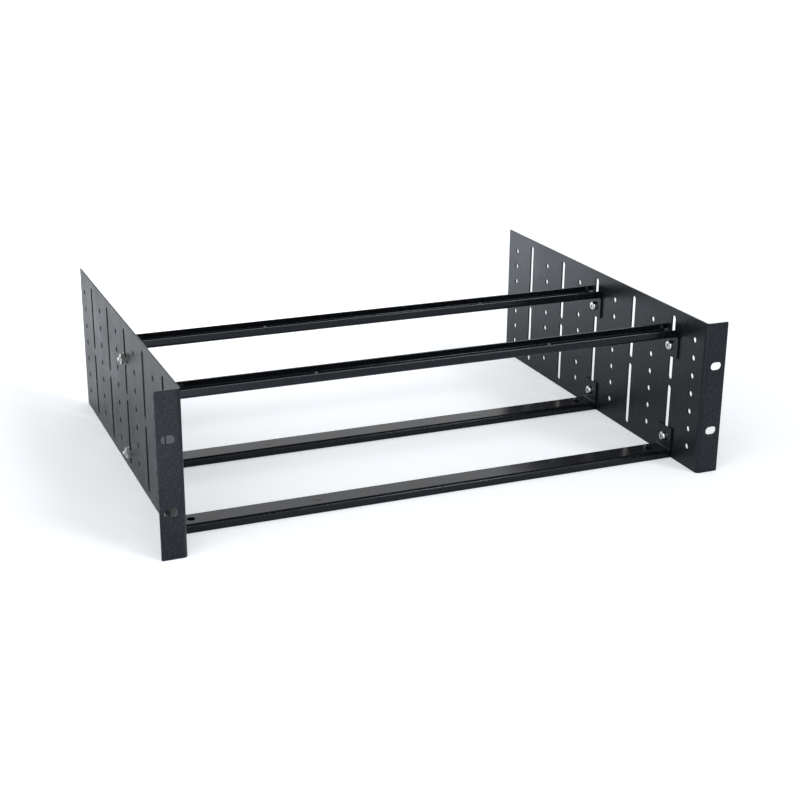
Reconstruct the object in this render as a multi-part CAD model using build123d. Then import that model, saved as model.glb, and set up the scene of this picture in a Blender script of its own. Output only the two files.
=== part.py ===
from build123d import *
import os

# Clamp rack shelf for a 19 inch rack, 3 units high, in millimetres.
# Two slotted side brackets with rack ears are joined by four folded clamp bars.
# Each bar is held by a screw, a toothed washer and a nut at both ends, and slides
# up and down in the side slots to clamp equipment between the lower and upper pair.
# +X points right, +Y to the rear and +Z up. The origin is the centre of the
# footprint, level with the bottom edges of the side brackets.

# Side brackets
panel_width = 482.6
panel_height = 132.56
shelf_depth = 363.0
bracket_gauge = 1.5
bracket_bend_inside = 2.0
ear_width = 20.15
ear_corner_radius = 1.0

# Slots in the ears for the rack's own screws
rack_slot_inset = 8.75
rack_slot_spacing_z = 57.15
rack_slot_length = 10.3
rack_slot_width = 6.8

# Slots and holes in the sides
slot_columns = 5
slot_width = 5.5
slot_edge_margin = 6.45
slot_row_gap = 5.7
hole_rows = 7
hole_pitch = 15.875
hole_diameter = 4.8
hole_edge_margin = 18.0

# Clamp bars, folded from one strip each
bar_depth = 22.0
bar_height = 7.0
bar_gauge = 1.5
bar_bend_inside = 1.0
tab_height = 19.3
tab_corner_radius = 1.0
screw_offset = 9.5
tab_hole_diameter = 4.8
end_hole_diameter = 6.4
end_hole_inset = 15.5

# Studs pressed into the bars
stud_spacing = 203.2
stud_diameter = 2.8
stud_length = 5.0
stud_head_diameter = 4.6
stud_head_thickness = 0.8
stud_chamfer = 0.4
press_clearance = 0.02

# Screws, toothed washers and nuts
screw_diameter = 4.17
screw_length = 9.5
screw_end_chamfer = 0.6
screw_head_diameter = 8.2
screw_head_height = 2.9
screw_head_side = 1.2
recess_span = 4.4
recess_width = 1.1
recess_depth = 1.7
recess_taper = 12.0
washer_diameter = 9.9
washer_thickness = 0.8
washer_teeth = 12
washer_notch_depth = 1.3
washer_notch_width = 0.9
nut_width = 8.73
nut_height = 3.2
nut_chamfer_height = 0.45
thread_clearance = 0.02

# Where the bars sit
front_bar_column = 0
rear_bar_column = 2
bottom_bar_lift = 0.3
clamp_opening = 102.2
slide_gap = 0.1

# Worked out from the sizes above
front_y = -shelf_depth / 2
side_inner_x = panel_width / 2 - ear_width
side_outer_x = side_inner_x + bracket_gauge
middle_z = panel_height / 2
slot_length = (panel_height - 2 * slot_edge_margin - slot_row_gap) / 2
rack_slot_spacing_x = panel_width - 2 * rack_slot_inset
column_pitch = (shelf_depth - 2 * hole_edge_margin) / slot_columns
bar_length = 2 * (side_inner_x - slide_gap)
bar_bend_outside = bar_bend_inside + bar_gauge
bottom_web_z = bottom_bar_lift + bar_height
top_web_z = bottom_web_z + clamp_opening
nut_corner_radius = nut_width / 3**0.5


def slot_column_y(column):
    """Depth of a slot column, counted from the front."""
    return front_y + hole_edge_margin + (column + 0.5) * column_pitch


def side_bracket():
    """Right side bracket: a tall plate whose front edge is folded outward into the rack ear."""
    ear_edge_x = panel_width / 2
    rear_y = shelf_depth / 2
    outline = make_face(
        Polyline(
            (side_inner_x, rear_y),
            (side_inner_x, front_y),
            (ear_edge_x, front_y),
            (ear_edge_x, front_y + bracket_gauge),
            (side_outer_x, front_y + bracket_gauge),
            (side_outer_x, rear_y),
            close=True,
        )
    )
    bend_corners = (
        (side_inner_x, front_y, bracket_bend_inside + bracket_gauge),
        (side_outer_x, front_y + bracket_gauge, bracket_bend_inside),
    )
    for x, y, radius in bend_corners:
        corner = outline.vertices().sort_by_distance((x, y, 0))[0]
        outline = fillet(corner, radius)
    bracket = extrude(outline, amount=panel_height, dir=(0, 0, 1))

    ear_edges = bracket.edges().filter_by(Axis.Y).group_by(Axis.X)[-1]
    bracket = fillet(ear_edges, ear_corner_radius)

    rack_slot = SlotOverall(rack_slot_length, rack_slot_width)
    rack_slots = Sketch() + [
        Pos(rack_slot_spacing_x / 2, middle_z + side * rack_slot_spacing_z / 2) * rack_slot
        for side in (-1, 1)
    ]
    bracket -= extrude(Plane.XZ * rack_slots, amount=shelf_depth, both=True)

    slot_z = (slot_length + slot_row_gap) / 2
    side_slot = SlotOverall(slot_length, slot_width, rotation=90)
    side_holes = Sketch()
    for column in range(slot_columns):
        for side in (-1, 1):
            side_holes += Pos(slot_column_y(column), middle_z + side * slot_z) * side_slot
    for column in range(slot_columns + 1):
        for row in range(hole_rows):
            row_z = middle_z + (row - (hole_rows - 1) / 2) * hole_pitch
            side_holes += Pos(slot_column_y(column - 0.5), row_z) * Circle(hole_diameter / 2)
    bracket -= extrude(Plane.YZ * side_holes, amount=panel_width)
    return bracket


def bar_channel():
    """The bar's web and lips, with the web's outer face at height 0 and the lips below it."""
    half_depth = bar_depth / 2
    outer = Pos(0, -bar_height / 2) * Rectangle(bar_depth, bar_height)
    outer = fillet(outer.vertices().group_by(Axis.Y)[-1], bar_bend_outside)
    inner = Pos(0, -bar_gauge - bar_height / 2) * Rectangle(bar_depth - 2 * bar_gauge, bar_height)
    inner = fillet(inner.vertices().group_by(Axis.Y)[-1], bar_bend_inside)
    bend_start = bar_length / 2 - bar_bend_outside
    channel = extrude(Plane.YZ * (outer - inner), amount=bend_start, both=True)
    lip_flat = bar_height - bar_bend_outside
    for side in (-1, 1):
        lip = Box(bar_length, bar_gauge, lip_flat)
        lip_y = side * (half_depth - bar_gauge / 2)
        channel += Pos(0, lip_y, -bar_height + lip_flat / 2) * lip
    return channel


def bar_tab():
    """The right-hand end tab, folded up from the web through a round bend."""
    bend_start = bar_length / 2 - bar_bend_outside
    face_x = bar_length / 2
    centre = (bend_start, bar_bend_inside)
    outside_arc = CenterArc(centre, bar_bend_outside, -90, 90)
    inside_arc = CenterArc(centre, bar_bend_inside, -90, 90)
    edges = [
        outside_arc,
        Line((face_x, bar_bend_inside), (face_x, tab_height)),
        Line((face_x, tab_height), (face_x - bar_gauge, tab_height)),
        Line((face_x - bar_gauge, tab_height), (face_x - bar_gauge, bar_bend_inside)),
        inside_arc,
        Line((bend_start, 0), (bend_start, -bar_gauge)),
    ]
    return extrude(Plane.XZ * make_face(edges), amount=bar_depth / 2, both=True)


def clamp_bar():
    """One clamp bar with its web facing up and its tabs standing up at both ends."""
    tab = bar_tab()
    bar = bar_channel() + tab + mirror(tab, about=Plane.YZ)
    bar = fillet(bar.edges().filter_by(Axis.X).group_by(Axis.Z)[-1], tab_corner_radius)
    screw_hole = Rot(0, 90, 0) * Cylinder(tab_hole_diameter / 2, bar_length + bar_gauge)
    bar -= Pos(0, 0, screw_offset) * screw_hole
    for side in (-1, 1):
        end_hole = Cylinder(end_hole_diameter / 2, 2 * bar_height)
        bar -= Pos(side * (bar_length / 2 - end_hole_inset), 0, 0) * end_hole
        bar -= Pos(side * stud_spacing / 2, 0, 0) * stud(press_clearance)
    return bar


def stud(clearance=0.0):
    """A stud whose head is flush with the web's outer face, pointing down into the channel."""
    head = Cylinder(
        stud_head_diameter / 2 + clearance,
        stud_head_thickness,
        align=(Align.CENTER, Align.CENTER, Align.MAX),
    )
    shank = Cylinder(
        stud_diameter / 2 + clearance,
        stud_length,
        align=(Align.CENTER, Align.CENTER, Align.MAX),
    )
    shank = chamfer(shank.edges().group_by(Axis.Z)[0], stud_chamfer)
    return head + shank


def bar_studs():
    """The two studs of one bar."""
    return [Pos(side * stud_spacing / 2, 0, 0) * stud() for side in (-1, 1)]


def pan_head_screw():
    """Screw along +X, with the underside of its head at the origin."""
    radius = screw_head_diameter / 2
    crown_radius = recess_span / 2
    side = make_face(
        [
            Line((0, 0), (radius, 0)),
            Line((radius, 0), (radius, screw_head_side)),
            ThreePointArc(
                (radius, screw_head_side),
                (
                    (radius + crown_radius) / 2 + screw_head_side / 4,
                    (screw_head_side + screw_head_height) / 2 + screw_head_side / 4,
                ),
                (crown_radius, screw_head_height),
            ),
            Line((crown_radius, screw_head_height), (0, screw_head_height)),
            Line((0, screw_head_height), (0, 0)),
        ]
    )
    head = revolve(Plane.XZ * side, Axis.Z)
    recess = Rectangle(recess_span, recess_width) + Rectangle(recess_width, recess_span)
    recess = extrude(
        Plane(origin=(0, 0, screw_head_height), z_dir=(0, 0, -1)) * recess,
        amount=recess_depth,
        taper=recess_taper,
    )
    shank = Cylinder(
        screw_diameter / 2,
        screw_length,
        align=(Align.CENTER, Align.CENTER, Align.MAX),
    )
    shank = chamfer(shank.edges().group_by(Axis.Z)[0], screw_end_chamfer)
    return Rot(0, -90, 0) * (head - recess + shank)


def toothed_washer():
    """External tooth lock washer along +X, with its seat at the origin."""
    rim = Circle(washer_diameter / 2) - Circle(screw_diameter / 2 + thread_clearance)
    notch = Rectangle(2 * washer_notch_depth, washer_notch_width)
    rim -= PolarLocations(washer_diameter / 2, washer_teeth) * notch
    return extrude(Plane.YZ * rim, amount=washer_thickness)


def hex_nut():
    """Hexagon nut along +X, with its seat at the origin and chamfered corners outside."""
    hexagon = RegularPolygon(nut_width / 2, 6, major_radius=False)
    hexagon -= Circle(screw_diameter / 2 + thread_clearance)
    prism = extrude(hexagon, amount=nut_height)
    blank = make_face(
        Polyline(
            (0, 0),
            (nut_corner_radius, 0),
            (nut_corner_radius, nut_height - nut_chamfer_height),
            (nut_width / 2, nut_height),
            (0, nut_height),
            close=True,
        )
    )
    return Rot(0, 90, 0) * (prism & revolve(Plane.XZ * blank, Axis.Z))


# The pieces, each under its own name
parts = {}
right_bracket = side_bracket()
parts["right_side_bracket"] = right_bracket
parts["left_side_bracket"] = mirror(right_bracket, about=Plane.YZ)

bar = clamp_bar()
studs = bar_studs()
tab_inner_x = bar_length / 2 - bar_gauge
washer_seat_x = side_outer_x + slide_gap
fasteners = {
    "screw": Pos(tab_inner_x, 0, screw_offset) * pan_head_screw(),
    "washer": Pos(washer_seat_x, 0, screw_offset) * toothed_washer(),
    "nut": Pos(washer_seat_x + washer_thickness, 0, screw_offset) * hex_nut(),
}
for row, column in (("front", front_bar_column), ("rear", rear_bar_column)):
    y = slot_column_y(column)
    for level, place in (
        ("bottom", Pos(0, y, bottom_web_z)),
        ("top", Pos(0, y, top_web_z) * Rot(180, 0, 0)),
    ):
        parts[f"{row}_{level}_bar"] = place * bar
        parts[f"{row}_{level}_bar_studs"] = Compound([place * one for one in studs])
        for side, turn in (("right", Rot(0, 0, 0)), ("left", Rot(0, 0, 180))):
            for kind, piece in fasteners.items():
                parts[f"{row}_{level}_{side}_{kind}"] = place * turn * piece

os.makedirs("parts", exist_ok=True)
for name, piece in parts.items():
    piece.label = name
    export_step(piece, f"parts/{name}.step")
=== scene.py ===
import math
import random

import bmesh
import bpy
from bpy.props import FloatProperty, FloatVectorProperty, IntProperty, PointerProperty
from bpy.types import Operator, Panel, PropertyGroup
from mathutils import Matrix, Vector


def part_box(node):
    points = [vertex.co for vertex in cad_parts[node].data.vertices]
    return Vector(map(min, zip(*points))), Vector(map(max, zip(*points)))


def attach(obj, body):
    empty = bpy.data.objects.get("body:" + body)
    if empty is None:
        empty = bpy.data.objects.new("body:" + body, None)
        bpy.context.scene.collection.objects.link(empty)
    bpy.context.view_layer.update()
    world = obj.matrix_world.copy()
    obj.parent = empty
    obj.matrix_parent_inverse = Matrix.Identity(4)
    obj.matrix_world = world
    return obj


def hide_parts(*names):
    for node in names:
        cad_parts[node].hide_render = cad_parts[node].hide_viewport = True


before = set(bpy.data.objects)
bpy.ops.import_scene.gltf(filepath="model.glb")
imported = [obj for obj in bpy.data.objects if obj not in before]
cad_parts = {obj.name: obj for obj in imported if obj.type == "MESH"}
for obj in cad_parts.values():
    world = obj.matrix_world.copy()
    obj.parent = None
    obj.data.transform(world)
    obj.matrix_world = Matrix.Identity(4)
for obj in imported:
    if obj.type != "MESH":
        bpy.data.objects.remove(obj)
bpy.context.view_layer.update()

bl_info = {
    "name": "Clamp Rack Shelf Finish",
    "version": (1, 0, 0),
    "blender": (4, 5, 0),
    "location": "3D View > Sidebar > Rack Shelf",
    "description": "Powder coat, plated fasteners and studio stage of a clamp rack shelf",
    "category": "Object",
}

BRACKETS = ("left_side_bracket", "right_side_bracket")
BARS = tuple(f"{row}_{level}_bar" for row in ("front", "rear") for level in ("bottom", "top"))
SIDES = {"left": -1, "right": 1}

# Sizes that the fasteners take from the frame
SAMPLE = "front_bottom_right"
SCREW_LOW, SCREW_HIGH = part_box(f"{SAMPLE}_screw")
WASHER_LOW, WASHER_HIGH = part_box(f"{SAMPLE}_washer")
NUT_LOW, NUT_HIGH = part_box(f"{SAMPLE}_nut")
STUDS_LOW, STUDS_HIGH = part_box(f"{BARS[0]}_studs")

AXIS_X = Vector((1, 0, 0))
FULL_TURN = 2 * math.pi
QUARTER_TURN = math.pi / 2
TOUCH = 1e-6
SHARP_CORNER = math.radians(35)
FLAT_FACES = math.radians(0.5)

# Powder coat: its texture, pale specks, and worn edges whose lighter colour is partly a painted
# highlight
PITS_PER_PEBBLE = 2.3
PIT_SHARE = 0.35
CLOUD_SCALE = 26.0
SPECK_LEVELS = (0.48, 0.70)
SPECK_TINT = (2.2, 0.009)
EDGE_REACH = 0.0006
EDGE_FACING = (0.99, 0.86)
EDGE_PATCHES = 300.0
# Lighter colour at the edges: a painted highlight, partly also the thinner coat there
HIGHLIGHT_AND_WEAR_TINT = (2.2, 0.012)
WEAR_POLISH = 0.10
COAT_GLOSS_SPREAD = (-0.04, 0.05)

# Zinc plating: its tumbling marks, tone and gloss
MARK_SCALE = 5000.0
MARK_DEPTH = 0.00001
TONE_SCALE = 420.0
DULL_SHARE = 0.78
ZINC_GLOSS_SPREAD = (0.08, -0.04)

# Fasteners: a thread's depth as a share of its pitch, and the gaps round a screw
THREAD_DEPTH = 0.55
WASHER_GAP = 0.00003
NUT_GAP = 0.00002


class ShelfSheetSettings(PropertyGroup):
    edge_radius: FloatProperty(
        name="Edge Radius",
        description="Rounding of the deburred and coated sheet edges",
        default=0.0003,
        unit="LENGTH",
    )
    edge_segments: IntProperty(
        name="Edge Segments", description="Facets across each rounded edge", default=3
    )
    edge_angle: FloatProperty(
        name="Edge Angle",
        description="Corners sharper than this are rounded",
        default=math.radians(40),
        subtype="ANGLE",
    )


class ShelfCoatSettings(PropertyGroup):
    bracket_colour: FloatVectorProperty(
        name="Bracket Colour",
        description="Powder coat of the side brackets",
        default=(0.0050, 0.0058, 0.0072),
        subtype="COLOR",
    )
    bar_colour: FloatVectorProperty(
        name="Bar Colour",
        description="Powder coat of the clamp bars",
        default=(0.0022, 0.0027, 0.0035),
        subtype="COLOR",
    )
    bracket_roughness: FloatProperty(
        name="Bracket Roughness", description="Gloss of the brackets' coat", default=0.30
    )
    bar_roughness: FloatProperty(
        name="Bar Roughness", description="Gloss of the bars' coat", default=0.15
    )
    bracket_grain: FloatProperty(
        name="Bracket Grain",
        description="Width of the fine texture on the brackets",
        default=0.0017,
        unit="LENGTH",
    )
    bar_grain: FloatProperty(
        name="Bar Grain",
        description="Width of the fine texture on the bars",
        default=0.0009,
        unit="LENGTH",
    )
    bracket_depth: FloatProperty(
        name="Bracket Depth",
        description="Height of the texture on the brackets",
        default=0.00016,
        unit="LENGTH",
    )
    bar_depth: FloatProperty(
        name="Bar Depth",
        description="Height of the texture on the bars",
        default=0.000032,
        unit="LENGTH",
    )
    ior: FloatProperty(
        name="Coat IOR",
        description="How strongly the coat mirrors its surroundings",
        default=1.39,
    )
    gloss_tint: FloatVectorProperty(
        name="Gloss Tint",
        description="Cool cast of the coat's gloss",
        default=(0.82, 0.89, 1.0),
        subtype="COLOR",
    )


class ShelfPlatingSettings(PropertyGroup):
    colour: FloatVectorProperty(
        name="Plating Colour",
        description="Bright zinc on the screws, washers and nuts",
        default=(0.88, 0.88, 0.87),
        subtype="COLOR",
    )
    roughness: FloatProperty(
        name="Plating Roughness", description="Gloss of the plating", default=0.11
    )
    stud_colour: FloatVectorProperty(
        name="Stud Colour",
        description="Dull zinc on the studs, darkened by the coat's oven",
        default=(0.16, 0.16, 0.17),
        subtype="COLOR",
    )
    stud_roughness: FloatProperty(
        name="Stud Roughness", description="Gloss of the studs", default=0.42
    )


class ShelfFastenerSettings(PropertyGroup):
    head_height: FloatProperty(
        name="Head Height", description="Height of the pan head", default=0.0029, unit="LENGTH"
    )
    head_round: FloatProperty(
        name="Head Round",
        description="Rounding of the pan head's crown",
        default=0.0016,
        unit="LENGTH",
    )
    screw_diameter: FloatProperty(
        name="Screw Diameter", description="Over the threads", default=0.00417, unit="LENGTH"
    )
    screw_pitch: FloatProperty(
        name="Screw Pitch",
        description="One turn of the screw's thread",
        default=0.000794,
        unit="LENGTH",
    )
    recess_span: FloatProperty(
        name="Recess Span",
        description="Cross recess from wing to wing",
        default=0.0046,
        unit="LENGTH",
    )
    recess_wing: FloatProperty(
        name="Recess Wing",
        description="Width of one wing of the recess",
        default=0.0011,
        unit="LENGTH",
    )
    recess_depth: FloatProperty(
        name="Recess Depth", description="Depth of the cross recess", default=0.0018, unit="LENGTH"
    )
    washer_teeth: IntProperty(
        name="Washer Teeth", description="Teeth round each lock washer", default=12
    )
    washer_stock: FloatProperty(
        name="Washer Stock",
        description="Thickness of the washer's strip",
        default=0.0005,
        unit="LENGTH",
    )
    washer_ring: FloatProperty(
        name="Washer Ring",
        description="Radius at the roots of the teeth",
        default=0.0037,
        unit="LENGTH",
    )
    tooth_twist: FloatProperty(
        name="Tooth Twist",
        description="Turn of each tooth out of the washer's plane",
        default=math.radians(18),
        subtype="ANGLE",
    )
    nut_chamfer: FloatProperty(
        name="Nut Chamfer",
        description="Chamfer on the nut's corners",
        default=0.00045,
        unit="LENGTH",
    )
    bore_chamfer: FloatProperty(
        name="Bore Chamfer",
        description="Countersink at the nut's bore",
        default=0.00035,
        unit="LENGTH",
    )
    stud_diameter: FloatProperty(
        name="Stud Diameter", description="Over the studs' threads", default=0.0028, unit="LENGTH"
    )
    stud_pitch: FloatProperty(
        name="Stud Pitch",
        description="One turn of the studs' thread",
        default=0.0005,
        unit="LENGTH",
    )
    stud_head_thickness: FloatProperty(
        name="Stud Head", description="Thickness of the flush head", default=0.0008, unit="LENGTH"
    )


class ShelfStageSettings(PropertyGroup):
    floor_colour: FloatVectorProperty(
        name="Floor Colour",
        description="Plain pale floor",
        default=(0.76, 0.80, 0.84),
        subtype="COLOR",
    )
    floor_radius: FloatProperty(
        name="Floor Radius", description="Reach of the floor", default=30.0, unit="LENGTH"
    )
    floor_lift: FloatProperty(
        name="Floor Lift",
        description="Whiteness added to the floor where the camera sees it",
        default=0.32,
    )
    ambient: FloatProperty(
        name="Ambient", description="Even light from all round", default=0.60
    )
    backdrop_top: FloatProperty(
        name="Backdrop Top",
        description="Sine of the angle above the horizon where the white backdrop starts to fade",
        default=0.55,
    )
    backdrop_fade: FloatProperty(
        name="Backdrop Fade",
        description="How much larger that sine is where the backdrop has faded",
        default=0.2,
    )
    ceiling: FloatProperty(
        name="Ceiling", description="Brightness of the ceiling that gloss mirrors", default=0.04
    )
    key_direction: FloatVectorProperty(
        name="Key Direction",
        description="Where the key light comes from",
        default=(-1.5, -0.9, 1.3),
        subtype="DIRECTION",
    )
    key_strength: FloatProperty(
        name="Key Strength", description="Large soft light from the front left", default=0.9
    )
    key_softness: FloatProperty(
        name="Key Softness",
        description="Width of the key light as the object sees it",
        default=math.radians(45),
        subtype="ANGLE",
    )
    fill_direction: FloatVectorProperty(
        name="Fill Direction",
        description="Where the fill light comes from",
        default=(0.50, -0.75, 0.80),
        subtype="DIRECTION",
    )
    fill_strength: FloatProperty(
        name="Fill Strength", description="Soft light from the front right", default=0.9
    )
    fill_softness: FloatProperty(
        name="Fill Softness",
        description="Width of the fill light as the object sees it",
        default=math.radians(14),
        subtype="ANGLE",
    )
    rear_pool_place: FloatVectorProperty(
        name="Rear Pool Place",
        description="Where the lamp hangs that lights the floor behind the shelf",
        default=(0.0, 0.62, 0.16),
        subtype="TRANSLATION",
        unit="LENGTH",
    )
    rear_pool_power: FloatProperty(
        name="Rear Pool Power", description="Power of the rear floor lamp in watts", default=1.4
    )
    rear_pool_size: FloatProperty(
        name="Rear Pool Size",
        description="Width of the rear floor lamp",
        default=0.30,
        unit="LENGTH",
    )
    front_pool_place: FloatVectorProperty(
        name="Front Pool Place",
        description="Where the lamp hangs that lights the floor before the shelf",
        default=(-0.28, -0.52, 0.12),
        subtype="TRANSLATION",
        unit="LENGTH",
    )
    front_pool_power: FloatProperty(
        name="Front Pool Power", description="Power of the front floor lamp in watts", default=0.9
    )
    front_pool_size: FloatProperty(
        name="Front Pool Size",
        description="Width of the front floor lamp",
        default=0.26,
        unit="LENGTH",
    )
    camera_place: FloatVectorProperty(
        name="Camera Place",
        description="Where the camera stands",
        default=(-0.46023, -1.15648, 0.48027),
        subtype="TRANSLATION",
        unit="LENGTH",
    )
    camera_azimuth: FloatProperty(
        name="Camera Azimuth",
        description="Turn of the view towards +X",
        default=math.radians(22.704),
        subtype="ANGLE",
    )
    camera_tilt: FloatProperty(
        name="Camera Tilt",
        description="How far it looks down",
        default=math.radians(19.689),
        subtype="ANGLE",
    )
    camera_roll: FloatProperty(
        name="Camera Roll",
        description="Lean of the horizon",
        default=math.radians(0.501),
        subtype="ANGLE",
    )
    lens: FloatProperty(name="Lens", description="Focal length in millimetres", default=66.47)


class ShelfSettings(PropertyGroup):
    sheet: PointerProperty(type=ShelfSheetSettings)
    coat: PointerProperty(type=ShelfCoatSettings)
    plating: PointerProperty(type=ShelfPlatingSettings)
    fasteners: PointerProperty(type=ShelfFastenerSettings)
    stage: PointerProperty(type=ShelfStageSettings)


def settings():
    """The sizes and colours set in the sidebar."""
    return bpy.context.scene.rack_shelf


# Node helpers


def node(tree, kind, values=(), links=(), **fields):
    """A new node with its plain values set and its inputs linked."""
    made = tree.nodes.new(kind)
    for name, value in fields.items():
        setattr(made, name, value)
    for socket, value in values:
        made.inputs[socket].default_value = value
    for socket, source in links:
        tree.links.new(source, made.inputs[socket])
    return made


def group_tree(name, inputs, outputs):
    """An empty shader node group with named float inputs and outputs."""
    tree = bpy.data.node_groups.new(name, "ShaderNodeTree")
    for label, value in inputs:
        socket = tree.interface.new_socket(label, in_out="INPUT", socket_type="NodeSocketFloat")
        socket.default_value = value
    for label in outputs:
        tree.interface.new_socket(label, in_out="OUTPUT", socket_type="NodeSocketFloat")
    return tree


def coat_grain_group():
    """Fine texture of a powder coat: its height, a slow cloudiness of its gloss and its pale specks."""
    found = bpy.data.node_groups.get("coat_grain")
    if found:
        return found
    tree = group_tree("coat_grain", [("Grain", 0.001)], ["Height", "Cloud", "Speck"])
    given = node(tree, "NodeGroupInput")
    place = node(tree, "ShaderNodeTexCoord")
    density = node(
        tree, "ShaderNodeMath", [(0, 1.0)], [(1, given.outputs["Grain"])], operation="DIVIDE"
    )
    pebbles = node(
        tree,
        "ShaderNodeTexNoise",
        [("Detail", 2.0), ("Roughness", 0.6)],
        [("Vector", place.outputs["Object"]), ("Scale", density.outputs[0])],
    )
    fine_density = node(
        tree,
        "ShaderNodeMath",
        [(1, PITS_PER_PEBBLE)],
        [(0, density.outputs[0])],
        operation="MULTIPLY",
    )
    pits = node(
        tree,
        "ShaderNodeTexVoronoi",
        [("Smoothness", 0.6)],
        [("Vector", place.outputs["Object"]), ("Scale", fine_density.outputs[0])],
        feature="SMOOTH_F1",
    )
    height = node(
        tree,
        "ShaderNodeMath",
        [(1, PIT_SHARE)],
        [(0, pits.outputs["Distance"]), (2, pebbles.outputs["Fac"])],
        operation="MULTIPLY_ADD",
    )
    cloud = node(
        tree,
        "ShaderNodeTexNoise",
        [("Scale", CLOUD_SCALE), ("Detail", 4.0), ("Roughness", 0.55)],
        [("Vector", place.outputs["Object"])],
    )
    speck = node(
        tree,
        "ShaderNodeMapRange",
        [("From Min", SPECK_LEVELS[0]), ("From Max", SPECK_LEVELS[1])],
        [("Value", pebbles.outputs["Fac"])],
    )
    node(
        tree,
        "NodeGroupOutput",
        links=[
            ("Height", height.outputs[0]),
            ("Cloud", cloud.outputs["Fac"]),
            ("Speck", speck.outputs["Result"]),
        ],
    )
    return tree


def worn_and_highlighted_edges_group():
    """Mask of the outer edges, where a coat thins and is rubbed smooth and where its colour is
    lightened as a painted highlight, broken up by a fine noise.
    """
    found = bpy.data.node_groups.get("worn_and_highlighted_edges")
    if found:
        return found
    tree = group_tree("worn_and_highlighted_edges", [("Reach", EDGE_REACH), ("Patches", EDGE_PATCHES)], ["Mask"])
    given = node(tree, "NodeGroupInput")
    place = node(tree, "ShaderNodeTexCoord")
    surface = node(tree, "ShaderNodeNewGeometry")
    rounded = node(
        tree, "ShaderNodeBevel", links=[("Radius", given.outputs["Reach"])], samples=4
    )
    facing = node(
        tree,
        "ShaderNodeVectorMath",
        links=[(0, surface.outputs["Normal"]), (1, rounded.outputs["Normal"])],
        operation="DOT_PRODUCT",
    )
    edge = node(
        tree,
        "ShaderNodeMapRange",
        [("From Min", EDGE_FACING[0]), ("From Max", EDGE_FACING[1])],
        [("Value", facing.outputs["Value"])],
    )
    patches = node(
        tree,
        "ShaderNodeTexNoise",
        [("Detail", 3.0)],
        [("Vector", place.outputs["Object"]), ("Scale", given.outputs["Patches"])],
    )
    uneven = node(
        tree,
        "ShaderNodeMapRange",
        [("From Min", 0.35), ("From Max", 0.65), ("To Min", 0.35)],
        [("Value", patches.outputs["Fac"])],
    )
    mask = node(
        tree,
        "ShaderNodeMath",
        links=[(0, edge.outputs["Result"]), (1, uneven.outputs["Result"])],
        operation="MULTIPLY",
    )
    node(tree, "NodeGroupOutput", links=[("Mask", mask.outputs[0])])
    return tree


def plating_grain_group():
    """Fine tumbling marks of small plated parts: a height and a slow change of tone."""
    found = bpy.data.node_groups.get("plating_grain")
    if found:
        return found
    tree = group_tree("plating_grain", [("Marks", MARK_SCALE)], ["Height", "Tone"])
    given = node(tree, "NodeGroupInput")
    place = node(tree, "ShaderNodeTexCoord")
    marks = node(
        tree,
        "ShaderNodeTexNoise",
        [("Detail", 3.0), ("Roughness", 0.7)],
        [("Vector", place.outputs["Object"]), ("Scale", given.outputs["Marks"])],
    )
    tone = node(
        tree,
        "ShaderNodeTexNoise",
        [("Scale", TONE_SCALE), ("Detail", 3.0)],
        [("Vector", place.outputs["Object"])],
    )
    node(
        tree,
        "NodeGroupOutput",
        links=[("Height", marks.outputs["Fac"]), ("Tone", tone.outputs["Fac"])],
    )
    return tree


def empty_material(name):
    """A new material with only its output, and its tree."""
    material = bpy.data.materials.new(name)
    material.use_nodes = True
    material.node_tree.nodes.clear()
    return material, material.node_tree


def tinted(colour, tint):
    """A colour changed by a factor and a step."""
    factor, step = tint
    return (*(factor * c + step for c in colour), 1)


def coat_material(name, colour, roughness, grain, depth):
    """Black powder coat with a fine texture, thinner and smoother along the edges, where its colour is
    lightened as a painted highlight.
    """
    found = bpy.data.materials.get(name)
    if found:
        return found
    material, tree = empty_material(name)
    texture = node(tree, "ShaderNodeGroup", node_tree=coat_grain_group())
    texture.inputs["Grain"].default_value = grain
    # Mask of the edges that get a painted highlight in their colour and a real rubbed smoothness
    wear_and_highlight = node(tree, "ShaderNodeGroup", node_tree=worn_and_highlighted_edges_group())
    speckled = node(
        tree,
        "ShaderNodeMix",
        [(6, (*colour, 1)), (7, tinted(colour, SPECK_TINT))],
        [(0, texture.outputs["Speck"])],
        data_type="RGBA",
    )
    # Edges lighter in colour: a painted highlight along the rounded edges, partly the thinner, rubbed
    # coat there
    tint = node(
        tree,
        "ShaderNodeMix",
        [(7, tinted(colour, HIGHLIGHT_AND_WEAR_TINT))],
        [(0, wear_and_highlight.outputs["Mask"]), (6, speckled.outputs[2])],
        data_type="RGBA",
    )
    cloudy = node(
        tree,
        "ShaderNodeMapRange",
        [
            ("From Min", 0.3),
            ("From Max", 0.7),
            ("To Min", roughness + COAT_GLOSS_SPREAD[0]),
            ("To Max", roughness + COAT_GLOSS_SPREAD[1]),
        ],
        [("Value", texture.outputs["Cloud"])],
    )
    gloss = node(
        tree,
        "ShaderNodeMix",
        [(3, roughness - WEAR_POLISH)],
        [(0, wear_and_highlight.outputs["Mask"]), (2, cloudy.outputs["Result"])],
        data_type="FLOAT",
    )
    bump = node(
        tree,
        "ShaderNodeBump",
        [("Strength", 1.0), ("Distance", depth)],
        [("Height", texture.outputs["Height"])],
    )
    coat = settings().coat
    shader = node(
        tree,
        "ShaderNodeBsdfPrincipled",
        [("IOR", coat.ior), ("Specular Tint", (*coat.gloss_tint, 1))],
        [
            ("Base Color", tint.outputs[2]),
            ("Roughness", gloss.outputs[0]),
            ("Normal", bump.outputs["Normal"]),
        ],
    )
    node(tree, "ShaderNodeOutputMaterial", links=[("Surface", shader.outputs[0])])
    return material


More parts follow.
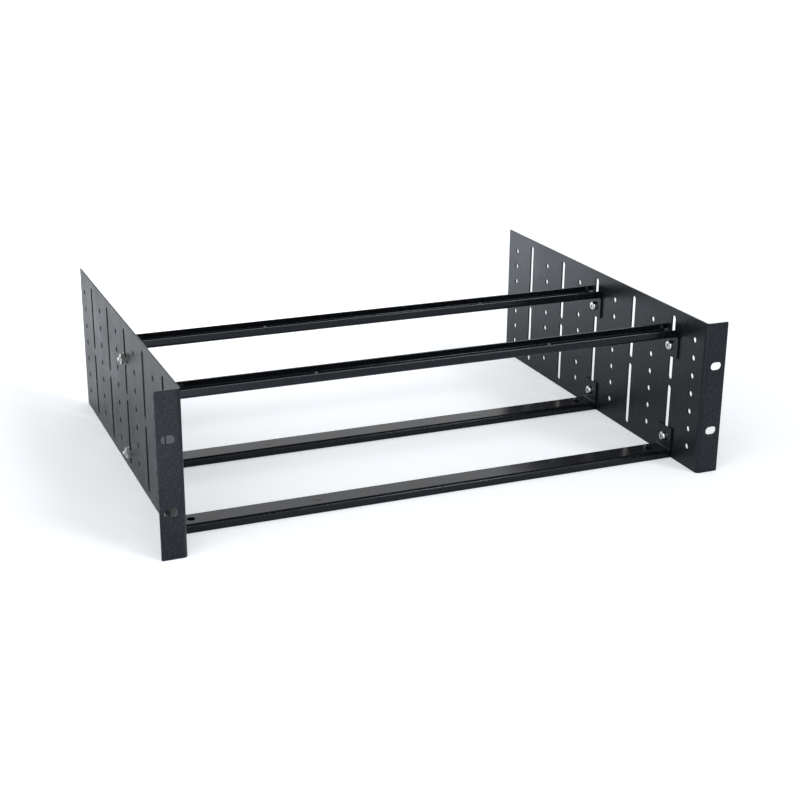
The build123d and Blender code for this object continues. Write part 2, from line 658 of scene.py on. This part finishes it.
def bracket_coat():
    """The textured coat of the side brackets."""
    coat = settings().coat
    return coat_material(
        "black_bracket_coat",
        coat.bracket_colour,
        coat.bracket_roughness,
        coat.bracket_grain,
        coat.bracket_depth,
    )


def bar_coat():
    """The smoother coat of the clamp bars."""
    coat = settings().coat
    return coat_material(
        "black_bar_coat",
        coat.bar_colour,
        coat.bar_roughness,
        coat.bar_grain,
        coat.bar_depth,
    )


def plated_material(name, colour, roughness):
    """Zinc with fine tumbling marks."""
    found = bpy.data.materials.get(name)
    if found:
        return found
    material, tree = empty_material(name)
    grain = node(tree, "ShaderNodeGroup", node_tree=plating_grain_group())
    tint = node(
        tree,
        "ShaderNodeMix",
        [(6, tinted(colour, (DULL_SHARE, 0))), (7, (*colour, 1))],
        [(0, grain.outputs["Tone"])],
        data_type="RGBA",
    )
    gloss = node(
        tree,
        "ShaderNodeMapRange",
        [
            ("From Min", 0.3),
            ("From Max", 0.7),
            ("To Min", roughness + ZINC_GLOSS_SPREAD[0]),
            ("To Max", roughness + ZINC_GLOSS_SPREAD[1]),
        ],
        [("Value", grain.outputs["Tone"])],
    )
    bump = node(
        tree,
        "ShaderNodeBump",
        [("Strength", 0.5), ("Distance", MARK_DEPTH)],
        [("Height", grain.outputs["Height"])],
    )
    shader = node(
        tree,
        "ShaderNodeBsdfPrincipled",
        [("Metallic", 1.0)],
        [
            ("Base Color", tint.outputs[2]),
            ("Roughness", gloss.outputs["Result"]),
            ("Normal", bump.outputs["Normal"]),
        ],
    )
    node(tree, "ShaderNodeOutputMaterial", links=[("Surface", shader.outputs[0])])
    return material


def bright_zinc():
    """Plating of the screws, washers and nuts."""
    plating = settings().plating
    return plated_material("bright_zinc", plating.colour, plating.roughness)


def dull_zinc():
    """Plating of the studs."""
    plating = settings().plating
    return plated_material("dull_zinc", plating.stud_colour, plating.stud_roughness)


# Sheet metal


def outer_corners_group(angle):
    """Marks a sheet's outer corners for rounding, except where a fold's inner corner meets them."""
    found = bpy.data.node_groups.get("outer_corners")
    if found:
        return found
    tree = bpy.data.node_groups.new("outer_corners", "GeometryNodeTree")
    for way in ("INPUT", "OUTPUT"):
        tree.interface.new_socket("Geometry", in_out=way, socket_type="NodeSocketGeometry")
    given = node(tree, "NodeGroupInput")
    turn = node(tree, "GeometryNodeInputMeshEdgeAngle")
    outer = node(
        tree,
        "FunctionNodeCompare",
        [(1, angle)],
        [(0, turn.outputs["Signed Angle"])],
        operation="GREATER_THAN",
    )
    inner = node(
        tree,
        "FunctionNodeCompare",
        [(1, -angle)],
        [(0, turn.outputs["Signed Angle"])],
        operation="LESS_THAN",
    )
    share = node(
        tree,
        "GeometryNodeFieldOnDomain",
        links=[(0, inner.outputs[0])],
        domain="POINT",
        data_type="FLOAT",
    )
    clear = node(
        tree, "FunctionNodeCompare", [(1, TOUCH)], [(0, share.outputs[0])], operation="LESS_THAN"
    )
    both = node(
        tree, "FunctionNodeBooleanMath", links=[(0, outer.outputs[0]), (1, clear.outputs[0])]
    )
    weight = node(
        tree,
        "GeometryNodeStoreNamedAttribute",
        [("Name", "bevel_weight_edge")],
        [("Geometry", given.outputs["Geometry"]), ("Value", both.outputs[0])],
        domain="EDGE",
        data_type="FLOAT",
    )
    node(tree, "NodeGroupOutput", links=[("Geometry", weight.outputs[0])])
    return tree


def coat_sheet(name, material):
    """Rounds a folded sheet's cut edges and gives it its coat."""
    sheet = settings().sheet
    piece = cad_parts[name]
    piece.material_slots[0].material = material
    piece.modifiers.new("join_facets", "WELD").merge_threshold = TOUCH
    flat = piece.modifiers.new("flat_faces", "DECIMATE")
    flat.decimate_type = "DISSOLVE"
    flat.angle_limit = FLAT_FACES
    marks = piece.modifiers.new("outer_corners", "NODES")
    marks.node_group = outer_corners_group(sheet.edge_angle)
    rounding = piece.modifiers.new("deburred_edges", "BEVEL")
    rounding.width = sheet.edge_radius
    rounding.segments = sheet.edge_segments
    rounding.limit_method = "WEIGHT"
    rounding.loop_slide = False
    rounding.use_clamp_overlap = False
    rounding.harden_normals = True


class SHELF_OT_coat_brackets(Operator):
    """Rounds the side brackets' edges and coats them"""

    bl_idname = "shelf.coat_brackets"
    bl_label = "Coat Side Brackets"

    def execute(self, context):
        for name in BRACKETS:
            coat_sheet(name, bracket_coat())
        return {"FINISHED"}


class SHELF_OT_coat_bars(Operator):
    """Rounds the clamp bars' edges and coats them"""

    bl_idname = "shelf.coat_bars"
    bl_label = "Coat Clamp Bars"

    def execute(self, context):
        for name in BARS:
            coat_sheet(name, bar_coat())
        return {"FINISHED"}


# Turned and pressed pieces, all made along +X


def lathe(bm, profile, steps):
    """Turns a profile of (along, radius) points round the X axis."""
    points = [bm.verts.new((x, 0, radius)) for x, radius in profile]
    lines = [bm.edges.new(pair) for pair in zip(points, points[1:])]
    bmesh.ops.spin(
        bm,
        geom=points + lines,
        cent=(0, 0, 0),
        axis=AXIS_X,
        angle=FULL_TURN,
        steps=steps,
        use_merge=True,
    )
    bmesh.ops.remove_doubles(bm, verts=bm.verts, dist=TOUCH)
    bmesh.ops.recalc_face_normals(bm, faces=bm.faces)


def ring_edges(bm, x, radius):
    """The edges of the circle at one place along the axis."""
    return [
        e
        for e in bm.edges
        if all(
            abs(v.co.x - x) < TOUCH and abs(math.hypot(v.co.y, v.co.z) - radius) < TOUCH
            for v in e.verts
        )
    ]


def round_edges(bm, edges, size, segments):
    """Rounds or, with one segment, chamfers edges."""
    bmesh.ops.bevel(
        bm,
        geom=edges,
        offset=size,
        segments=segments,
        profile=0.5,
        affect="EDGES",
        material=-1,
    )


def add_thread(bm, start, end, crest, root, pitch, steps=28):
    """A V thread wound round the X axis that runs out to nothing at both ends."""
    old = set(bm.verts)
    shape = [(start, root), (start + pitch / 2, crest), (start + pitch, root)]
    points = [bm.verts.new((x, 0, radius)) for x, radius in shape]
    lines = [bm.edges.new((points[i], points[i - 1])) for i in range(len(points))]
    turns = (end - start) / pitch - 1
    count = round(turns * steps)
    bmesh.ops.spin(
        bm,
        geom=points + lines,
        cent=(0, 0, 0),
        axis=AXIS_X,
        angle=FULL_TURN * turns,
        steps=count,
        dvec=AXIS_X * (turns * pitch / count),
    )
    wound = [v for v in bm.verts if v not in old]
    open_edges = [e for e in bm.edges if e.is_boundary and e.verts[0] not in old]
    bmesh.ops.holes_fill(bm, edges=open_edges, sides=3)
    for v in wound:
        radius = math.hypot(v.co.y, v.co.z)
        share = max(0.0, min(1.0, (v.co.x - start) / pitch, (end - v.co.x) / pitch))
        if radius > root + TOUCH:
            new = root + (radius - root) * share
            v.co.y *= new / radius
            v.co.z *= new / radius
    bmesh.ops.recalc_face_normals(bm, faces=bm.faces)


def mesh_of(bm, name):
    """Turns a bmesh into a mesh with smooth faces and sharp corners."""
    for face in bm.faces:
        face.smooth = True
    for edge in bm.edges:
        if len(edge.link_faces) == 2 and edge.calc_face_angle() > SHARP_CORNER:
            edge.smooth = False
    mesh = bpy.data.meshes.new(name)
    bm.to_mesh(mesh)
    bm.free()
    return mesh


def carve(mesh, tool, operation):
    """Cuts a mesh with another, or keeps what both hold."""
    blank = bpy.data.objects.new("blank", mesh)
    cutter = bpy.data.objects.new("cutter", tool)
    for item in (blank, cutter):
        bpy.context.scene.collection.objects.link(item)
    step = blank.modifiers.new("carve", "BOOLEAN")
    step.object = cutter
    step.operation = operation
    step.solver = "EXACT"
    graph = bpy.context.evaluated_depsgraph_get()
    carved = bpy.data.meshes.new_from_object(blank.evaluated_get(graph))
    bpy.data.objects.remove(blank)
    bpy.data.objects.remove(cutter)
    bpy.data.meshes.remove(mesh)
    bpy.data.meshes.remove(tool)
    bm = bmesh.new()
    bm.from_mesh(carved)
    bmesh.ops.remove_doubles(bm, verts=bm.verts, dist=TOUCH)
    bpy.data.meshes.remove(carved)
    return mesh_of(bm, "carved")


def recess_wing(turn):
    """Tool for one wing of the cross recess, narrower at its bottom."""
    sizes = settings().fasteners
    bm = bmesh.new()
    bmesh.ops.create_cube(bm, size=1.0)
    bmesh.ops.scale(
        bm, vec=(2 * sizes.recess_depth, sizes.recess_span, sizes.recess_wing), verts=bm.verts
    )
    deep = [v for v in bm.verts if v.co.x > 0]
    bottom_span = 0.5
    bottom_width = 0.75
    bmesh.ops.scale(bm, vec=(1, bottom_span, bottom_width), verts=deep)
    bmesh.ops.rotate(bm, cent=(0, 0, 0), matrix=Matrix.Rotation(turn, 3, "X"), verts=bm.verts)
    bmesh.ops.translate(bm, vec=(-sizes.head_height, 0, 0), verts=bm.verts)
    return mesh_of(bm, "recess_wing")


def pan_head_screw():
    """Cross recessed screw along +X, with the underside of its head at the origin."""
    sizes = settings().fasteners
    head = (SCREW_HIGH.y - SCREW_LOW.y) / 2
    tip = SCREW_HIGH.x - SCREW_LOW.x - sizes.head_height
    crest = sizes.screw_diameter / 2
    root = crest - THREAD_DEPTH * sizes.screw_pitch
    point_length = 0.0006
    point_step = 0.0005
    profile = [
        (-sizes.head_height, 0),
        (-sizes.head_height, head),
        (0, head),
        (0, root),
        (tip - point_length, root),
        (tip, root - point_step),
        (tip, 0),
    ]
    bm = bmesh.new()
    lathe(bm, profile, 48)
    rim_round = 0.00015
    round_edges(bm, ring_edges(bm, -sizes.head_height, head), sizes.head_round, 8)
    round_edges(bm, ring_edges(bm, 0, head), rim_round, 2)
    mesh = mesh_of(bm, "screw_blank")
    for turn in (0, QUARTER_TURN):
        mesh = carve(mesh, recess_wing(turn), "DIFFERENCE")
    bm = bmesh.new()
    bm.from_mesh(mesh)
    thread_start = 0.0004
    thread_end = tip - 0.0002
    sunk = 0.00005
    add_thread(bm, thread_start, thread_end, crest, root - sunk, sizes.screw_pitch)
    bpy.data.meshes.remove(mesh)
    return mesh_of(bm, "pan_head_screw")


def lock_washer():
    """External tooth lock washer with twisted teeth and its seat at the origin."""
    sizes = settings().fasteners
    thickness = WASHER_HIGH.x - WASHER_LOW.x
    tooth_reach = (WASHER_HIGH.y - WASHER_LOW.y) / 2 - sizes.washer_ring
    low = (thickness - sizes.washer_stock) / 2
    high = low + sizes.washer_stock
    bore = sizes.screw_diameter / 2 + WASHER_GAP
    profile = [
        (low, bore),
        (high, bore),
        (high, sizes.washer_ring),
        (low, sizes.washer_ring),
        (low, bore),
    ]
    bm = bmesh.new()
    lathe(bm, profile, 3 * sizes.washer_teeth)
    pitch = FULL_TURN / sizes.washer_teeth
    tooth_share = 0.66
    rim = 0.98 * sizes.washer_ring
    middle = Vector((thickness / 2, 0, 0))
    teeth = {}
    for face in bm.faces:
        centre = face.calc_center_median()
        if math.hypot(centre.y, centre.z) < rim:
            continue
        angle = math.atan2(centre.z, centre.y) % FULL_TURN
        tooth = int(angle / pitch)
        if angle - tooth * pitch < tooth_share * pitch:
            teeth.setdefault(tooth, []).append(face)
    for faces in teeth.values():
        out = sum((f.calc_center_median() - middle for f in faces), Vector()).normalized()
        region = bmesh.ops.extrude_face_region(bm, geom=faces)["geom"]
        ends = [v for v in region if isinstance(v, bmesh.types.BMVert)]
        bmesh.ops.translate(bm, vec=out * tooth_reach, verts=ends)
        twist = Matrix.Rotation(sizes.tooth_twist, 3, out)
        bmesh.ops.rotate(bm, cent=middle, matrix=twist, verts=ends)
        bmesh.ops.delete(bm, geom=faces, context="FACES")
    bmesh.ops.recalc_face_normals(bm, faces=bm.faces)
    return mesh_of(bm, "lock_washer")


def hexagon_nut():
    """Hexagon nut with chamfered corners and a countersunk bore; its seat is at the origin."""
    sizes = settings().fasteners
    height = NUT_HIGH.x - NUT_LOW.x
    flat = (NUT_HIGH.y - NUT_LOW.y) / 2
    corner = flat / math.cos(math.pi / 6)
    bm = bmesh.new()
    bmesh.ops.create_cone(
        bm, cap_ends=True, segments=6, radius1=corner, radius2=corner, depth=height
    )
    stand = Matrix.Translation((height / 2, 0, 0)) @ Matrix.Rotation(QUARTER_TURN, 4, "Y")
    bmesh.ops.transform(bm, matrix=stand, verts=bm.verts)
    nut = mesh_of(bm, "nut_blank")
    corners = [
        (0, 0),
        (0, flat),
        (sizes.nut_chamfer, corner + TOUCH),
        (height - sizes.nut_chamfer, corner + TOUCH),
        (height, flat),
        (height, 0),
    ]
    bm = bmesh.new()
    lathe(bm, corners, 72)
    nut = carve(nut, mesh_of(bm, "corner_tool"), "INTERSECT")
    bore = sizes.screw_diameter / 2 + NUT_GAP
    mouth = bore + sizes.bore_chamfer
    past = 0.001
    drill = [
        (-past, 0),
        (-past, mouth),
        (0, mouth),
        (sizes.bore_chamfer, bore),
        (height - sizes.bore_chamfer, bore),
        (height, mouth),
        (height + past, mouth),
        (height + past, 0),
    ]
    bm = bmesh.new()
    lathe(bm, drill, 48)
    return carve(nut, mesh_of(bm, "bore_tool"), "DIFFERENCE")


def stud_shank():
    """Threaded shank of a pressed stud, from its head's underside at the origin along +X."""
    sizes = settings().fasteners
    crest = sizes.stud_diameter / 2
    root = crest - THREAD_DEPTH * sizes.stud_pitch
    tip = STUDS_HIGH.z - STUDS_LOW.z - sizes.stud_head_thickness
    collar = 0.0010
    neck = 0.0012
    point_length = 0.0004
    point_step = 0.0003
    profile = [
        (0, 0),
        (0, crest),
        (collar, crest),
        (neck, root),
        (tip - point_length, root),
        (tip, root - point_step),
        (tip, 0),
    ]
    bm = bmesh.new()
    lathe(bm, profile, 32)
    thread_start = 0.0009
    thread_end = tip - 0.0001
    sunk = 0.00003
    add_thread(bm, thread_start, thread_end, crest, root - sunk, sizes.stud_pitch, 24)
    return mesh_of(bm, "stud_shank")


def stud_head():
    """Flush round head of a pressed stud, with its outer face at the origin."""
    sizes = settings().fasteners
    radius = (STUDS_HIGH.y - STUDS_LOW.y) / 2
    under = sizes.stud_head_thickness
    rim_round = 0.0001
    bm = bmesh.new()
    lathe(bm, [(0, 0), (0, radius), (under, radius), (under, 0)], 40)
    round_edges(bm, ring_edges(bm, 0, radius), rim_round, 2)
    return mesh_of(bm, "stud_head")


def add_piece(name, meshes, material, slot, body, *nodes):
    """One object made of placed copies of meshes, riding on its body."""
    bm = bmesh.new()
    for mesh, place in meshes:
        copy = mesh.copy()
        copy.transform(place)
        bm.from_mesh(copy)
        bpy.data.meshes.remove(copy)
    whole = bpy.data.meshes.new(name)
    bm.to_mesh(whole)
    bm.free()
    whole.materials.append(material)
    piece = bpy.data.objects.new(name, whole)
    bpy.context.scene.collection.objects.link(piece)
    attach(piece, body)
    if nodes:
        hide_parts(*nodes)


def end_place(low, high, side, seat, turn):
    """Where a piece made along +X sits on one end of a bar."""
    sign = SIDES[side]
    centre = (low + high) / 2
    facing = Matrix.Rotation(0 if sign > 0 else math.pi, 4, "Z")
    place = Matrix.Translation((sign * seat, centre.y, centre.z))
    return place @ facing @ Matrix.Rotation(turn, 4, "X")


def add_end_pieces(mesh, node_word, piece_word, seat, chance):
    """Puts one fastener at both ends of every bar, each turned as it was left."""
    for bar in BARS:
        for side in SIDES:
            stem = f"{bar[:-4]}_{side}"
            low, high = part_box(f"{stem}_{node_word}")
            place = end_place(low, high, side, seat, chance.uniform(0, FULL_TURN))
            add_piece(
                f"{stem}_{piece_word}",
                [(mesh, place)],
                bright_zinc(),
                "plated_steel",
                bar,
                f"{stem}_{node_word}",
            )
    bpy.data.meshes.remove(mesh)


class SHELF_OT_add_screws(Operator):
    """Adds the pan head screws that hold the bars' ends"""

    bl_idname = "shelf.add_screws"
    bl_label = "Add Screws"

    def execute(self, context):
        seat = SCREW_LOW.x + settings().fasteners.head_height
        add_end_pieces(pan_head_screw(), "screw", "pan_head_screw", seat, random.Random(3))
        return {"FINISHED"}


class SHELF_OT_add_washers(Operator):
    """Adds the toothed lock washers on the outside of the brackets"""

    bl_idname = "shelf.add_washers"
    bl_label = "Add Lock Washers"

    def execute(self, context):
        add_end_pieces(lock_washer(), "washer", "lock_washer", WASHER_LOW.x, random.Random(5))
        return {"FINISHED"}


class SHELF_OT_add_nuts(Operator):
    """Adds the hexagon nuts on the outside of the brackets"""

    bl_idname = "shelf.add_nuts"
    bl_label = "Add Nuts"

    def execute(self, context):
        add_end_pieces(hexagon_nut(), "nut", "hexagon_nut", NUT_LOW.x, random.Random(11))
        return {"FINISHED"}


class SHELF_OT_add_studs(Operator):
    """Adds the pressed studs of the clamp bars, their flush heads coated with the bar"""

    bl_idname = "shelf.add_studs"
    bl_label = "Add Studs"

    def execute(self, context):
        thickness = settings().fasteners.stud_head_thickness
        head_radius = (STUDS_HIGH.y - STUDS_LOW.y) / 2
        shank = stud_shank()
        head = stud_head()
        for bar in BARS:
            low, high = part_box(f"{bar}_studs")
            up = "top" in bar
            face_z = low.z if up else high.z
            away = 1 if up else -1
            point = Matrix.Rotation(-away * QUARTER_TURN, 4, "Y")
            middle_y = (low.y + high.y) / 2
            heads = []
            shanks = []
            for x in (low.x + head_radius, high.x - head_radius):
                heads.append((head, Matrix.Translation((x, middle_y, face_z)) @ point))
                under = face_z + away * thickness
                shanks.append((shank, Matrix.Translation((x, middle_y, under)) @ point))
            add_piece(f"{bar}_stud_heads", heads, bar_coat(), "bar_coat", bar)
            add_piece(
                f"{bar}_threaded_studs", shanks, dull_zinc(), "plated_steel", bar, f"{bar}_studs"
            )
        for mesh in (shank, head):
            bpy.data.meshes.remove(mesh)
        return {"FINISHED"}


# Stage


def floor_material():
    """Pale floor that keeps its shadows and looks nearly white to the camera."""
    stage = settings().stage
    material, tree = empty_material("pale_floor")
    path = node(tree, "ShaderNodeLightPath")
    lift = node(
        tree,
        "ShaderNodeMath",
        [(1, stage.floor_lift)],
        [(0, path.outputs["Is Camera Ray"])],
        operation="MULTIPLY",
    )
    matt = node(tree, "ShaderNodeBsdfDiffuse", [("Color", (*stage.floor_colour, 1))])
    glow = node(
        tree,
        "ShaderNodeEmission",
        [("Color", (1, 1, 1, 1))],
        [("Strength", lift.outputs[0])],
    )
    both = node(tree, "ShaderNodeAddShader", links=[(0, matt.outputs[0]), (1, glow.outputs[0])])
    node(tree, "ShaderNodeOutputMaterial", links=[("Surface", both.outputs[0])])
    return material


def white_surround():
    """Even light from all round; the camera sees it as white, and gloss sees a dim ceiling above."""
    stage = settings().stage
    world = bpy.data.worlds.new("white_surround")
    world.use_nodes = True
    tree = world.node_tree
    tree.nodes.clear()
    path = node(tree, "ShaderNodeLightPath")
    place = node(tree, "ShaderNodeTexCoord")
    direction = node(tree, "ShaderNodeSeparateXYZ", links=[(0, place.outputs["Generated"])])
    dome = node(
        tree,
        "ShaderNodeMapRange",
        [
            ("From Min", stage.backdrop_top),
            ("From Max", stage.backdrop_top + stage.backdrop_fade),
            ("To Min", 1.0),
            ("To Max", stage.ceiling),
        ],
        [("Value", direction.outputs["Z"])],
    )
    clear = node(
        tree,
        "ShaderNodeMath",
        links=[(0, path.outputs["Is Camera Ray"]), (1, path.outputs["Is Transmission Ray"])],
        operation="MAXIMUM",
    )
    level = node(
        tree,
        "ShaderNodeMath",
        links=[(0, clear.outputs[0]), (1, dome.outputs["Result"])],
        operation="MAXIMUM",
    )
    seen = node(
        tree,
        "ShaderNodeMath",
        links=[(0, clear.outputs[0]), (1, path.outputs["Is Glossy Ray"])],
        operation="MAXIMUM",
    )
    light = node(
        tree, "ShaderNodeBackground", [("Color", (1, 1, 1, 1)), ("Strength", stage.ambient)]
    )
    white = node(
        tree,
        "ShaderNodeBackground",
        [("Color", (1, 1, 1, 1))],
        [("Strength", level.outputs[0])],
    )
    choice = node(
        tree,
        "ShaderNodeMixShader",
        links=[(0, seen.outputs[0]), (1, light.outputs[0]), (2, white.outputs[0])],
    )
    node(tree, "ShaderNodeOutputWorld", links=[("Surface", choice.outputs[0])])
    bpy.context.scene.world = world


def add_soft_light(name, direction, strength, softness):
    """A wide, far light that comes from one direction."""
    lamp = bpy.data.lights.new(name, "SUN")
    lamp.energy = strength
    lamp.angle = softness
    item = bpy.data.objects.new(name, lamp)
    item.location = direction
    item.rotation_euler = Vector(direction).to_track_quat("Z", "Y").to_euler()
    bpy.context.scene.collection.objects.link(item)


def add_floor_pool(name, place, size, power):
    """A square lamp close over the floor, whose lit patch the glossy coat mirrors."""
    lamp = bpy.data.lights.new(name, "AREA")
    lamp.size = size
    lamp.energy = power
    item = bpy.data.objects.new(name, lamp)
    item.location = place
    item.visible_camera = False
    item.visible_glossy = False
    bpy.context.scene.collection.objects.link(item)


def add_camera():
    """The camera at the photograph's place and angle."""
    stage = settings().stage
    azimuth = stage.camera_azimuth
    tilt = stage.camera_tilt
    forward = Vector(
        (
            math.sin(azimuth) * math.cos(tilt),
            math.cos(azimuth) * math.cos(tilt),
            -math.sin(tilt),
        )
    )
    right = forward.cross(Vector((0, 0, 1))).normalized()
    up = right.cross(forward)
    lean = Matrix((right, up, -forward)).transposed()
    lean = lean @ Matrix.Rotation(stage.camera_roll, 3, "Z")
    camera = bpy.data.cameras.new("camera")
    camera.lens = stage.lens
    item = bpy.data.objects.new("camera", camera)
    item.matrix_world = Matrix.Translation(stage.camera_place) @ lean.to_4x4()
    bpy.context.scene.collection.objects.link(item)
    bpy.context.scene.camera = item


class SHELF_OT_build_stage(Operator):
    """Builds the pale floor, the white surround, the soft lamps and the camera"""

    bl_idname = "shelf.build_stage"
    bl_label = "Build Stage"

    def execute(self, context):
        stage = settings().stage
        bm = bmesh.new()
        bmesh.ops.create_circle(bm, cap_ends=True, segments=96, radius=stage.floor_radius)
        floor = bpy.data.objects.new("floor", mesh_of(bm, "floor"))
        floor.data.materials.append(floor_material())
        context.scene.collection.objects.link(floor)
        white_surround()
        add_soft_light(
            "key_light", stage.key_direction, stage.key_strength, stage.key_softness
        )
        add_soft_light(
            "fill_light", stage.fill_direction, stage.fill_strength, stage.fill_softness
        )
        add_floor_pool(
            "rear_pool", stage.rear_pool_place, stage.rear_pool_size, stage.rear_pool_power
        )
        add_floor_pool(
            "front_pool", stage.front_pool_place, stage.front_pool_size, stage.front_pool_power
        )
        add_camera()
        context.scene.view_settings.view_transform = "Standard"
        return {"FINISHED"}


class SHELF_PT_finish(Panel):
    """Sizes, colours and steps of the clamp rack shelf's finish"""

    bl_idname = "SHELF_PT_finish"
    bl_label = "Clamp Rack Shelf"
    bl_space_type = "VIEW_3D"
    bl_region_type = "UI"
    bl_category = "Rack Shelf"

    def draw(self, context):
        shelf = context.scene.rack_shelf
        for title, group in (
            ("Sheet", shelf.sheet),
            ("Coat", shelf.coat),
            ("Plating", shelf.plating),
            ("Fasteners", shelf.fasteners),
            ("Stage", shelf.stage),
        ):
            box = self.layout.box()
            box.label(text=title)
            for name in group.__annotations__:
                box.prop(group, name)
        for step in STEPS:
            self.layout.operator(step.bl_idname)


STEPS = (
    SHELF_OT_coat_brackets,
    SHELF_OT_coat_bars,
    SHELF_OT_add_screws,
    SHELF_OT_add_washers,
    SHELF_OT_add_nuts,
    SHELF_OT_add_studs,
    SHELF_OT_build_stage,
)
CLASSES = (
    ShelfSheetSettings,
    ShelfCoatSettings,
    ShelfPlatingSettings,
    ShelfFastenerSettings,
    ShelfStageSettings,
    ShelfSettings,
    *STEPS,
    SHELF_PT_finish,
)


def register():
    """Registers the settings, the steps and the panel."""
    for item in CLASSES:
        bpy.utils.register_class(item)
    bpy.types.Scene.rack_shelf = PointerProperty(type=ShelfSettings)


def unregister():
    """Takes them out again."""
    del bpy.types.Scene.rack_shelf
    for item in reversed(CLASSES):
        bpy.utils.unregister_class(item)


def main():
    """Registers the add-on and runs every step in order."""
    register()
    bpy.ops.shelf.coat_brackets()
    bpy.ops.shelf.coat_bars()
    bpy.ops.shelf.add_screws()
    bpy.ops.shelf.add_washers()
    bpy.ops.shelf.add_nuts()
    bpy.ops.shelf.add_studs()
    bpy.ops.shelf.build_stage()


if __name__ == "__main__":
    main()
